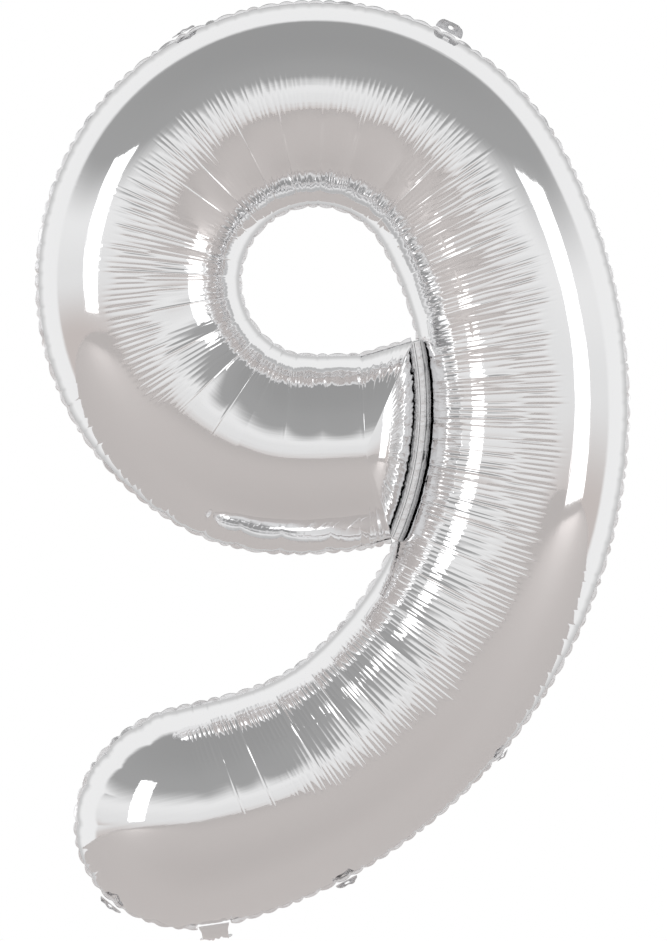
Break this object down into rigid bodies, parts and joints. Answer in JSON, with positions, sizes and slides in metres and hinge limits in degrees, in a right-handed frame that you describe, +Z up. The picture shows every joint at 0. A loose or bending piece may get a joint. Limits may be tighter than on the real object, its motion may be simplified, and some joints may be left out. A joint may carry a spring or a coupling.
{
  "type": "foil number balloon",
  "caption": "Inflated silver foil balloon in the shape of the digit nine, with sealed seams, hanging tabs with eyelets, a filling neck and an inner self-sealing valve.",
  "frame": {"origin": "in the seam plane, midway between the fold lines of the two top hanging tabs, above the centre of the digit's eye", "axes": "+Z up along the digit's height; the digit is read from the front, which faces -Y; +X to the reader's right"},
  "size_m": [0.559, 0.1922, 0.8826],
  "materials": {
    "foil": "mirror silver metallised film, softly wrinkled",
    "sealed_foil": "silver metallised film, heat-sealed and puckered",
    "valve_film": "translucent matte polyethylene film"
  },
  "bodies": {
    "balloon": {"front_panel": "foil", "back_panel": "foil", "outer_seam": "sealed_foil", "tail_seam": "sealed_foil", "hole_seam": "sealed_foil", "bowl_weld": "sealed_foil"},
    "tab_top_left": {"tab_top_left": "sealed_foil"},
    "tab_top_right": {"tab_top_right": "sealed_foil"},
    "tab_side_upper": {"tab_side_upper": "sealed_foil"},
    "tab_side_lower": {"tab_side_lower": "sealed_foil"},
    "tab_tail_corner": {"tab_tail_corner": "sealed_foil"},
    "filling_neck": {"neck_front_film": "foil", "neck_back_film": "foil"},
    "valve_front": {"valve_front_film": "valve_film"},
    "valve_back": {"valve_back_film": "valve_film"}
  },
  "joints": [
    {"name": "tab_top_left_fold", "type": "hinge", "parent": "balloon", "child": "tab_top_left", "pos_m": [-0.12418, 0, 0], "axis": [0.8829, 0, 0.4695], "range_deg": [-172, 10], "stiffness_Nm_per_rad": 0.00005},
    {"name": "tab_top_right_fold", "type": "hinge", "parent": "balloon", "child": "tab_top_right", "pos_m": [0.12418, 0, 0], "axis": [0.8829, 0, -0.4695], "range_deg": [-138, 44], "stiffness_Nm_per_rad": 0.00005},
    {"name": "tab_side_upper_fold", "type": "hinge", "parent": "balloon", "child": "tab_side_upper", "pos_m": [0.17485, 0, -0.67823], "axis": [-0.6494, 0, -0.7604], "range_deg": [-172, 10], "stiffness_Nm_per_rad": 0.00005},
    {"name": "tab_side_lower_fold", "type": "hinge", "parent": "balloon", "child": "tab_side_lower", "pos_m": [0.02836, 0, -0.79579], "axis": [-0.8829, 0, -0.4695], "range_deg": [-158, 24], "stiffness_Nm_per_rad": 0.00005},
    {"name": "tab_tail_corner_fold", "type": "hinge", "parent": "balloon", "child": "tab_tail_corner", "pos_m": [-0.19231, 0, -0.81804], "axis": [-0.7769, 0, 0.6296], "range_deg": [-164, 18], "stiffness_Nm_per_rad": 0.00005},
    {"name": "neck_fold", "type": "hinge", "parent": "balloon", "child": "filling_neck", "pos_m": [-0.09609, 0, -0.83595], "axis": [0.9905, 0, 0.1375], "range_deg": [-70, 14], "stiffness_Nm_per_rad": 0.0005},
    {"name": "valve_front_open", "type": "hinge", "parent": "balloon", "child": "valve_front", "pos_m": [-0.09642, 0, -0.83357], "axis": [0.9905, 0, 0.1375], "range_deg": [0, 7], "stiffness_Nm_per_rad": 0.0005},
    {"name": "valve_back_open", "type": "hinge", "parent": "balloon", "child": "valve_back", "pos_m": [-0.09642, 0, -0.83357], "axis": [0.9905, 0, 0.1375], "range_deg": [-7, 0], "stiffness_Nm_per_rad": 0.0005}
  ],
  "couplings": [
    {"joint": "valve_back_open", "follows": "valve_front_open", "ratio": -1}
  ]
}
